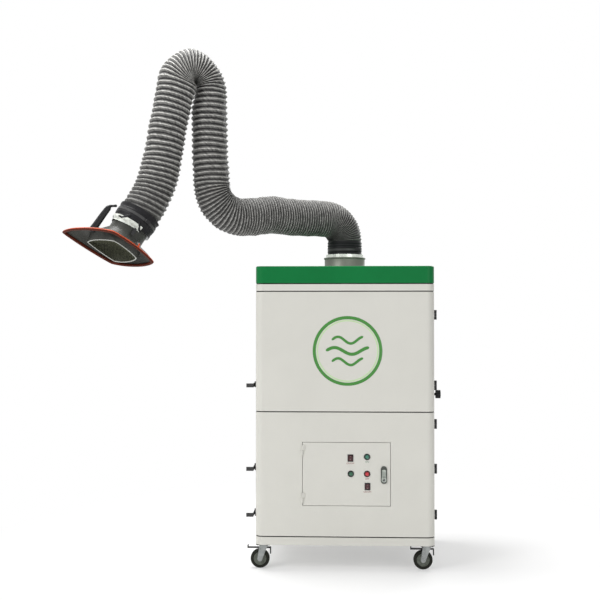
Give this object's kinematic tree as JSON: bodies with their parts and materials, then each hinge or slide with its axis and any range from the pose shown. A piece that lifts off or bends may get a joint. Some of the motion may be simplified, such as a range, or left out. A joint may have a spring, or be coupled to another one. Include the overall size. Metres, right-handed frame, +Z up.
{
  "type": "mobile welding fume extractor",
  "caption": "Wheeled sheet-metal filter cabinet with swinging doors and a jointed ribbed suction arm ending in a wide oval hood.",
  "frame": {"origin": "on the floor under the arm's swivel axis, at the middle of the cabinet's footprint", "axes": "+Z up, the doors face -Y, +X towards the door hinges"},
  "size_m": [1.452, 0.9481, 2.0378],
  "materials": {
    "cabinet_paint": "satin warm pale grey powder coat",
    "green_paint": "semi-gloss green powder coat",
    "bare_steel": "zinc plated sheet",
    "chrome_fitting": "polished",
    "black_fitting": "black coated steel",
    "cast_metal": "painted motor casting",
    "filter_media": "pleated polyester felt",
    "hose_fabric": "grey ribbed coated fabric",
    "black_rubber": "matt black rubber",
    "tyre_rubber": "black tread",
    "hood_plastic": "charcoal moulding",
    "rim_rubber": "orange red soft edging",
    "mesh_steel": "dull wire guard",
    "pale_plastic": "cream moulding",
    "teal_button": "teal green cap",
    "green_button": "dark green cap",
    "red_button": "red cap",
    "dark_red_plastic": "dark red rocker",
    "black_plastic": "black moulding",
    "collar_metal": "grey coated steel"
  },
  "bodies": {
    "cabinet": {"cabinet_shell": "cabinet_paint", "lid_cover": "green_paint", "base_frame": "cabinet_paint", "caster_plates": "black_fitting", "collar": "collar_metal", "filter_cartridge": "filter_media", "dust_tray": "bare_steel", "blower_housing": "bare_steel", "fan_motor": "cast_metal", "outlet_grille": "cabinet_paint", "cable_gland": "black_plastic", "side_fittings": "black_fitting"},
    "upper_door": {"upper_door": "cabinet_paint", "upper_door_fittings": "black_fitting"},
    "lower_door": {"lower_door": "cabinet_paint", "lower_door_fittings": "black_fitting", "contactor": "black_plastic"},
    "control_door": {"control_door": "cabinet_paint", "switch_bezels": "black_plastic"},
    "rocker_power": {"rocker_power": "dark_red_plastic"},
    "rocker_light": {"rocker_light": "dark_red_plastic"},
    "button_start": {"button_start": "teal_button"},
    "button_reset": {"button_reset": "green_button"},
    "button_stop": {"button_stop": "red_button"},
    "control_lock": {"control_lock": "chrome_fitting"},
    "latch_top": {"latch_lever_top": "chrome_fitting"},
    "latch_middle": {"latch_lever_middle": "chrome_fitting"},
    "latch_bottom": {"latch_lever_bottom": "chrome_fitting"},
    "airflow_knob": {"airflow_knob": "black_plastic"},
    "impeller": {"impeller": "bare_steel"},
    "arm_base": {"swivel_ring": "pale_plastic", "base_cuff": "black_rubber", "hose_shoulder": "hose_fabric"},
    "lower_arm": {"lower_link": "bare_steel", "hose_lower": "hose_fabric", "hose_knee": "hose_fabric"},
    "middle_arm": {"middle_link": "bare_steel", "hose_middle": "hose_fabric"},
    "elbow_bracket": {"elbow_bracket": "bare_steel", "hose_crown": "hose_fabric"},
    "fore_arm": {"fore_link": "bare_steel", "hose_fore": "hose_fabric", "hose_wrist": "hose_fabric"},
    "wrist": {"hood_spigot": "bare_steel", "hood_cuff": "black_rubber"},
    "hood": {"hood_shell": "hood_plastic", "hood_rim": "rim_rubber", "hood_mesh": "mesh_steel", "hood_handle": "black_plastic"},
    "flap": {"damper_flap": "bare_steel"},
    "caster_front_left": {"caster_fork_front_left": "bare_steel"},
    "wheel_front_left": {"caster_wheel_front_left": "tyre_rubber"},
    "caster_front_right": {"caster_fork_front_right": "bare_steel"},
    "wheel_front_right": {"caster_wheel_front_right": "tyre_rubber"},
    "caster_rear_left": {"caster_fork_rear_left": "bare_steel"},
    "wheel_rear_left": {"caster_wheel_rear_left": "tyre_rubber"},
    "caster_rear_right": {"caster_fork_rear_right": "bare_steel"},
    "wheel_rear_right": {"caster_wheel_rear_right": "tyre_rubber"},
    "brake_front_left": {"brake_pedal_front_left": "bare_steel"},
    "brake_front_right": {"brake_pedal_front_right": "bare_steel"}
  },
  "joints": [
    {"name": "upper_door_hinge", "type": "hinge", "parent": "cabinet", "child": "upper_door", "pos_m": [0.358, -0.238, 0.8535], "axis": [0, 0, 1], "range_deg": [0, 110]},
    {"name": "lower_door_hinge", "type": "hinge", "parent": "cabinet", "child": "lower_door", "pos_m": [0.358, -0.238, 0.375], "axis": [0, 0, 1], "range_deg": [0, 110]},
    {"name": "control_door_hinge", "type": "hinge", "parent": "lower_door", "child": "control_door", "pos_m": [-0.16525, -0.3033, 0.3765], "axis": [0, 0, -1], "range_deg": [0, 105]},
    {"name": "power_rocker_tilt", "type": "hinge", "parent": "control_door", "child": "rocker_power", "pos_m": [0.022, -0.3, 0.439], "axis": [1, 0, 0], "range_deg": [-8, 8]},
    {"name": "light_rocker_tilt", "type": "hinge", "parent": "control_door", "child": "rocker_light", "pos_m": [0.088, -0.3, 0.329], "axis": [1, 0, 0], "range_deg": [-8, 8]},
    {"name": "start_button_press", "type": "slide", "parent": "control_door", "child": "button_start", "axis": [0, 1, 0], "range_m": [0, 0.004], "stiffness_N_per_m": 300},
    {"name": "reset_button_press", "type": "slide", "parent": "control_door", "child": "button_reset", "axis": [0, 1, 0], "range_m": [0, 0.004], "stiffness_N_per_m": 300},
    {"name": "stop_button_press", "type": "slide", "parent": "control_door", "child": "button_stop", "axis": [0, 1, 0], "range_m": [0, 0.004], "stiffness_N_per_m": 300},
    {"name": "control_lock_turn", "type": "hinge", "parent": "control_door", "child": "control_lock", "pos_m": [0.152, -0.3, 0.355], "axis": [0, 1, 0], "range_deg": [0, 90]},
    {"name": "latch_top_swing", "type": "hinge", "parent": "cabinet", "child": "latch_top", "pos_m": [-0.357, -0.2, 0.719], "axis": [0, 0, -1], "range_deg": [0, 120]},
    {"name": "latch_middle_swing", "type": "hinge", "parent": "cabinet", "child": "latch_middle", "pos_m": [-0.357, -0.2, 0.391], "axis": [0, 0, -1], "range_deg": [0, 120]},
    {"name": "latch_bottom_swing", "type": "hinge", "parent": "cabinet", "child": "latch_bottom", "pos_m": [-0.357, -0.2, 0.211], "axis": [0, 0, -1], "range_deg": [0, 120]},
    {"name": "airflow_knob_turn", "type": "hinge", "parent": "cabinet", "child": "airflow_knob", "pos_m": [0.35, -0.18, 0.68], "axis": [1, 0, 0], "range_deg": [0, 90]},
    {"name": "impeller_spin", "type": "hinge", "parent": "cabinet", "child": "impeller", "pos_m": [0, 0.03, 0.56], "axis": [0, 0, 1], "continuous": true},
    {"name": "caster_swivel_front_left", "type": "hinge", "parent": "cabinet", "child": "caster_front_left", "pos_m": [-0.32, -0.252, 0.095], "axis": [0, 0, 1], "continuous": true},
    {"name": "wheel_spin_front_left", "type": "hinge", "parent": "caster_front_left", "child": "wheel_front_left", "pos_m": [-0.334, -0.252, 0.0375], "axis": [0, 1, 0], "continuous": true},
    {"name": "caster_swivel_front_right", "type": "hinge", "parent": "cabinet", "child": "caster_front_right", "pos_m": [0.32, -0.252, 0.095], "axis": [0, 0, 1], "continuous": true},
    {"name": "wheel_spin_front_right", "type": "hinge", "parent": "caster_front_right", "child": "wheel_front_right", "pos_m": [0.306, -0.252, 0.0375], "axis": [0, 1, 0], "continuous": true},
    {"name": "caster_swivel_rear_left", "type": "hinge", "parent": "cabinet", "child": "caster_rear_left", "pos_m": [-0.32, 0.252, 0.095], "axis": [0, 0, 1], "continuous": true},
    {"name": "wheel_spin_rear_left", "type": "hinge", "parent": "caster_rear_left", "child": "wheel_rear_left", "pos_m": [-0.334, 0.252, 0.0375], "axis": [0, 1, 0], "continuous": true},
    {"name": "caster_swivel_rear_right", "type": "hinge", "parent": "cabinet", "child": "caster_rear_right", "pos_m": [0.32, 0.252, 0.095], "axis": [0, 0, 1], "continuous": true},
    {"name": "wheel_spin_rear_right", "type": "hinge", "parent": "caster_rear_right", "child": "wheel_rear_right", "pos_m": [0.306, 0.252, 0.0375], "axis": [0, 1, 0], "continuous": true},
    {"name": "brake_press_front_left", "type": "hinge", "parent": "caster_front_left", "child": "brake_front_left", "pos_m": [-0.334, -0.252, 0.0795], "axis": [0, 1, 0], "range_deg": [0, 8]},
    {"name": "brake_press_front_right", "type": "hinge", "parent": "caster_front_right", "child": "brake_front_right", "pos_m": [0.306, -0.252, 0.0795], "axis": [0, 1, 0], "range_deg": [0, 8]},
    {"name": "arm_swivel", "type": "hinge", "parent": "cabinet", "child": "arm_base", "pos_m": [0, 0, 1.24], "axis": [0, 0, 1], "continuous": true},
    {"name": "shoulder", "type": "hinge", "parent": "arm_base", "child": "lower_arm", "pos_m": [0, 0, 1.396], "axis": [-0.5, 0.866, 0], "range_deg": [-12, 45], "deforming": ["hose_shoulder"]},
    {"name": "knee", "type": "hinge", "parent": "lower_arm", "child": "middle_arm", "pos_m": [-0.53001, -0.306, 1.396], "axis": [0.5, -0.866, 0], "range_deg": [-12, 25], "deforming": ["hose_knee"]},
    {"name": "elbow", "type": "hinge", "parent": "middle_arm", "child": "elbow_bracket", "pos_m": [-0.53001, -0.306, 1.967], "axis": [-0.5, 0.866, 0], "range_deg": [-3, 35], "deforming": ["hose_crown"]},
    {"name": "elbow_follow", "type": "hinge", "parent": "elbow_bracket", "child": "fore_arm", "pos_m": [-0.6644, -0.38359, 1.967], "axis": [-0.5, 0.866, 0], "range_deg": [-3, 35]},
    {"name": "wrist", "type": "hinge", "parent": "fore_arm", "child": "wrist", "pos_m": [-0.71135, -0.41069, 1.49127], "axis": [-0.5, 0.866, 0], "range_deg": [-25, 45], "deforming": ["hose_wrist"]},
    {"name": "hood_turn", "type": "hinge", "parent": "wrist", "child": "hood", "pos_m": [-0.80913, -0.46715, 1.32386], "axis": [-0.4843, -0.2796, -0.829], "range_deg": [-90, 90]},
    {"name": "flap_turn", "type": "hinge", "parent": "hood", "child": "flap", "pos_m": [-0.81591, -0.47107, 1.31225], "axis": [-0.5, 0.866, 0], "range_deg": [0, 80]}
  ],
  "couplings": [
    {"joint": "elbow_follow", "follows": "elbow", "ratio": 1}
  ]
}
